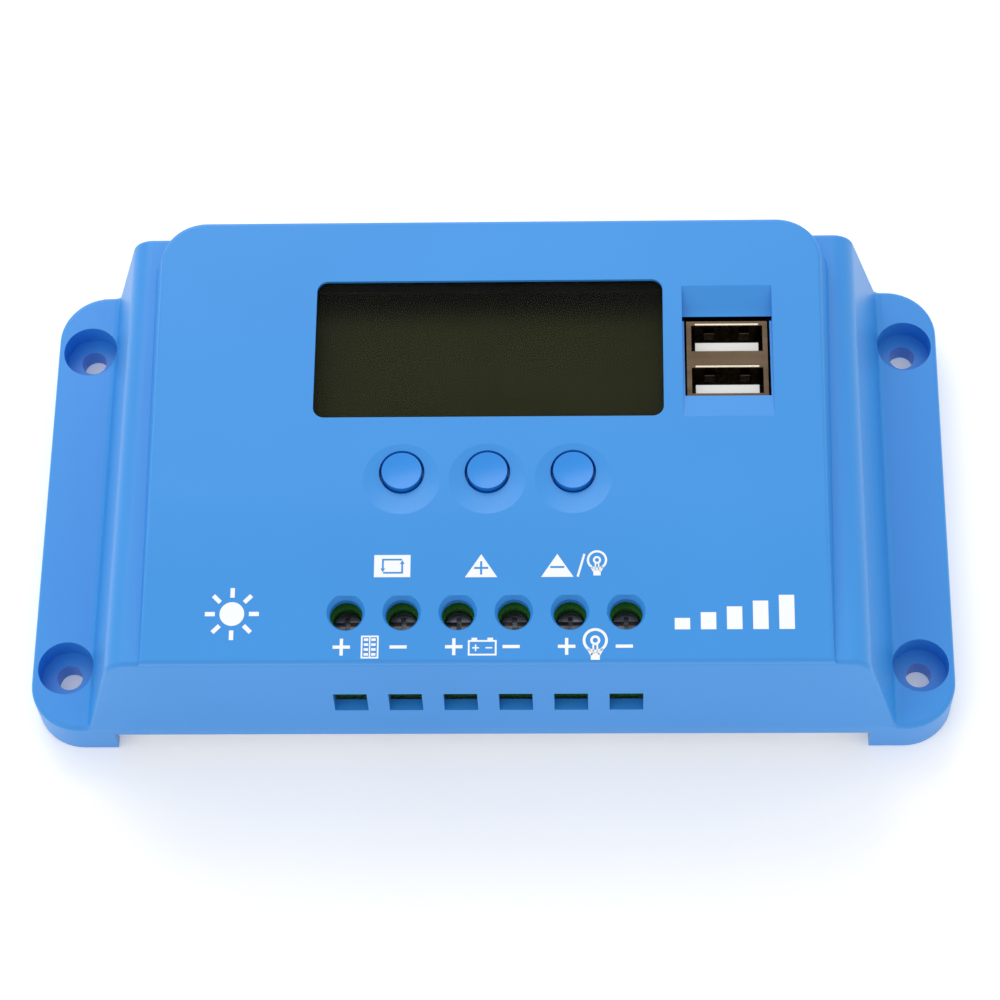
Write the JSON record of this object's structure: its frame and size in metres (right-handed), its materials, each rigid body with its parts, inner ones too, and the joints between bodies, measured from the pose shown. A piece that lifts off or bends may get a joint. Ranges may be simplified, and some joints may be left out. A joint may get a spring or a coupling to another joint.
{
  "type": "solar charge controller",
  "caption": "Wall-mounted solar charge controller: flanged plastic box with a sloped face, display, push buttons, USB sockets and rising-cage wire terminals on its front edge",
  "frame": {"origin": "the middle of the footprint, on the wall that the flanges rest on", "axes": "+X to the right along the terminals, +Y from the terminal edge to the far edge, +Z out of the wall through the face"},
  "size_m": [0.163, 0.0874, 0.0376],
  "materials": {
    "cover_plastic": "moulded polycarbonate blend, fine satin texture",
    "pan_metal": "plain folded sheet",
    "screw_steel": "zinc-plated",
    "board_laminate": "solder mask over glass laminate",
    "stud_metal": "turned",
    "gap_pad": "soft silicone pad",
    "chip_moulding": "moulded epoxy",
    "tinned_metal": "bright tin",
    "clamp_metal": "plain bar",
    "sleeve_plastic": "shrunk sleeve",
    "can_metal": "plain can top",
    "ferrite": "powdered iron with a painted skin",
    "copper_wire": "enamelled copper wire",
    "part_ceramic": "ceramic and tin chips",
    "terminal_plastic": "moulded green nylon",
    "terminal_metal": "tin-plated copper",
    "clamp_steel": "zinc-plated steel, dulled",
    "lens_plastic": "smoked clear sheet",
    "frame_plastic": "black moulding",
    "display_glass": "liquid crystal cell with a polariser",
    "light_plastic": "clear diffuser block",
    "button_plastic": "moulded, same colour as the cover",
    "switch_plastic": "black moulding",
    "spring_steel": "bright spring steel",
    "socket_steel": "nickel-plated shell",
    "socket_plastic": "white moulding",
    "contact_gold": "gold-plated strips"
  },
  "bodies": {
    "case": {"top_cover": "cover_plastic", "base_pan": "pan_metal", "cover_screws": "screw_steel", "main_board": "board_laminate", "board_studs": "stud_metal", "main_board_screws": "screw_steel", "thermal_pad": "gap_pad", "power_transistors": "chip_moulding", "transistor_tabs": "tinned_metal", "transistor_leads": "tinned_metal", "clamp_bar": "clamp_metal", "clamp_posts": "clamp_metal", "capacitor_sleeves": "sleeve_plastic", "capacitor_tops": "can_metal", "choke_core": "ferrite", "choke_winding": "copper_wire", "chips": "chip_moulding", "chip_legs": "tinned_metal", "current_shunts": "tinned_metal", "diodes": "chip_moulding", "small_components": "part_ceramic", "timing_crystal": "can_metal", "terminal_block": "terminal_plastic", "terminal_bars": "terminal_metal", "display_board": "board_laminate", "display_board_screws": "screw_steel", "display_lens": "lens_plastic", "display_frame": "frame_plastic", "display_glass": "display_glass", "display_backlight": "light_plastic", "display_pins": "tinned_metal", "switch_cases": "switch_plastic", "switch_lids": "spring_steel", "switch_domes": "spring_steel", "switch_legs": "tinned_metal", "board_link_pins": "contact_gold", "usb_shell": "socket_steel", "usb_tongues": "socket_plastic", "usb_contacts": "contact_gold", "usb_board": "board_laminate", "usb_link_pins": "contact_gold"},
    "menu_button_set": {"menu_button": "button_plastic", "switch_plunger_1": "switch_plastic"},
    "plus_button_set": {"plus_button": "button_plastic", "switch_plunger_2": "switch_plastic"},
    "minus_button_set": {"minus_button": "button_plastic", "switch_plunger_3": "switch_plastic"},
    "screw_1": {"terminal_screw_1": "clamp_steel"},
    "cage_1": {"wire_cage_1": "clamp_steel"},
    "screw_2": {"terminal_screw_2": "clamp_steel"},
    "cage_2": {"wire_cage_2": "clamp_steel"},
    "screw_3": {"terminal_screw_3": "clamp_steel"},
    "cage_3": {"wire_cage_3": "clamp_steel"},
    "screw_4": {"terminal_screw_4": "clamp_steel"},
    "cage_4": {"wire_cage_4": "clamp_steel"},
    "screw_5": {"terminal_screw_5": "clamp_steel"},
    "cage_5": {"wire_cage_5": "clamp_steel"},
    "screw_6": {"terminal_screw_6": "clamp_steel"},
    "cage_6": {"wire_cage_6": "clamp_steel"}
  },
  "joints": [
    {"name": "menu_press", "type": "slide", "parent": "case", "child": "menu_button_set", "axis": [0, 0, -1], "range_m": [0, 0.0003], "stiffness_N_per_m": 6000},
    {"name": "plus_press", "type": "slide", "parent": "case", "child": "plus_button_set", "axis": [0, 0, -1], "range_m": [0, 0.0003], "stiffness_N_per_m": 6000},
    {"name": "minus_press", "type": "slide", "parent": "case", "child": "minus_button_set", "axis": [0, 0, -1], "range_m": [0, 0.0003], "stiffness_N_per_m": 6000},
    {"name": "screw_1_turn", "type": "hinge", "parent": "case", "child": "screw_1", "pos_m": [-0.02375, -0.0329, 0.0282], "axis": [0, 0, -1], "range_deg": [0, 1440]},
    {"name": "cage_1_lift", "type": "slide", "parent": "case", "child": "cage_1", "axis": [0, 0, 1], "range_m": [0, 0.0028]},
    {"name": "screw_2_turn", "type": "hinge", "parent": "case", "child": "screw_2", "pos_m": [-0.01425, -0.0329, 0.0282], "axis": [0, 0, -1], "range_deg": [0, 1440]},
    {"name": "cage_2_lift", "type": "slide", "parent": "case", "child": "cage_2", "axis": [0, 0, 1], "range_m": [0, 0.0028]},
    {"name": "screw_3_turn", "type": "hinge", "parent": "case", "child": "screw_3", "pos_m": [-0.00475, -0.0329, 0.0282], "axis": [0, 0, -1], "range_deg": [0, 1440]},
    {"name": "cage_3_lift", "type": "slide", "parent": "case", "child": "cage_3", "axis": [0, 0, 1], "range_m": [0, 0.0028]},
    {"name": "screw_4_turn", "type": "hinge", "parent": "case", "child": "screw_4", "pos_m": [0.00475, -0.0329, 0.0282], "axis": [0, 0, -1], "range_deg": [0, 1440]},
    {"name": "cage_4_lift", "type": "slide", "parent": "case", "child": "cage_4", "axis": [0, 0, 1], "range_m": [0, 0.0028]},
    {"name": "screw_5_turn", "type": "hinge", "parent": "case", "child": "screw_5", "pos_m": [0.01425, -0.0329, 0.0282], "axis": [0, 0, -1], "range_deg": [0, 1440]},
    {"name": "cage_5_lift", "type": "slide", "parent": "case", "child": "cage_5", "axis": [0, 0, 1], "range_m": [0, 0.0028]},
    {"name": "screw_6_turn", "type": "hinge", "parent": "case", "child": "screw_6", "pos_m": [0.02375, -0.0329, 0.0282], "axis": [0, 0, -1], "range_deg": [0, 1440]},
    {"name": "cage_6_lift", "type": "slide", "parent": "case", "child": "cage_6", "axis": [0, 0, 1], "range_m": [0, 0.0028]}
  ],
  "couplings": [
    {"joint": "screw_1_turn", "follows": "cage_1_lift", "rad_per_m": 8976},
    {"joint": "screw_2_turn", "follows": "cage_2_lift", "rad_per_m": 8976},
    {"joint": "screw_3_turn", "follows": "cage_3_lift", "rad_per_m": 8976},
    {"joint": "screw_4_turn", "follows": "cage_4_lift", "rad_per_m": 8976},
    {"joint": "screw_5_turn", "follows": "cage_5_lift", "rad_per_m": 8976},
    {"joint": "screw_6_turn", "follows": "cage_6_lift", "rad_per_m": 8976}
  ]
}
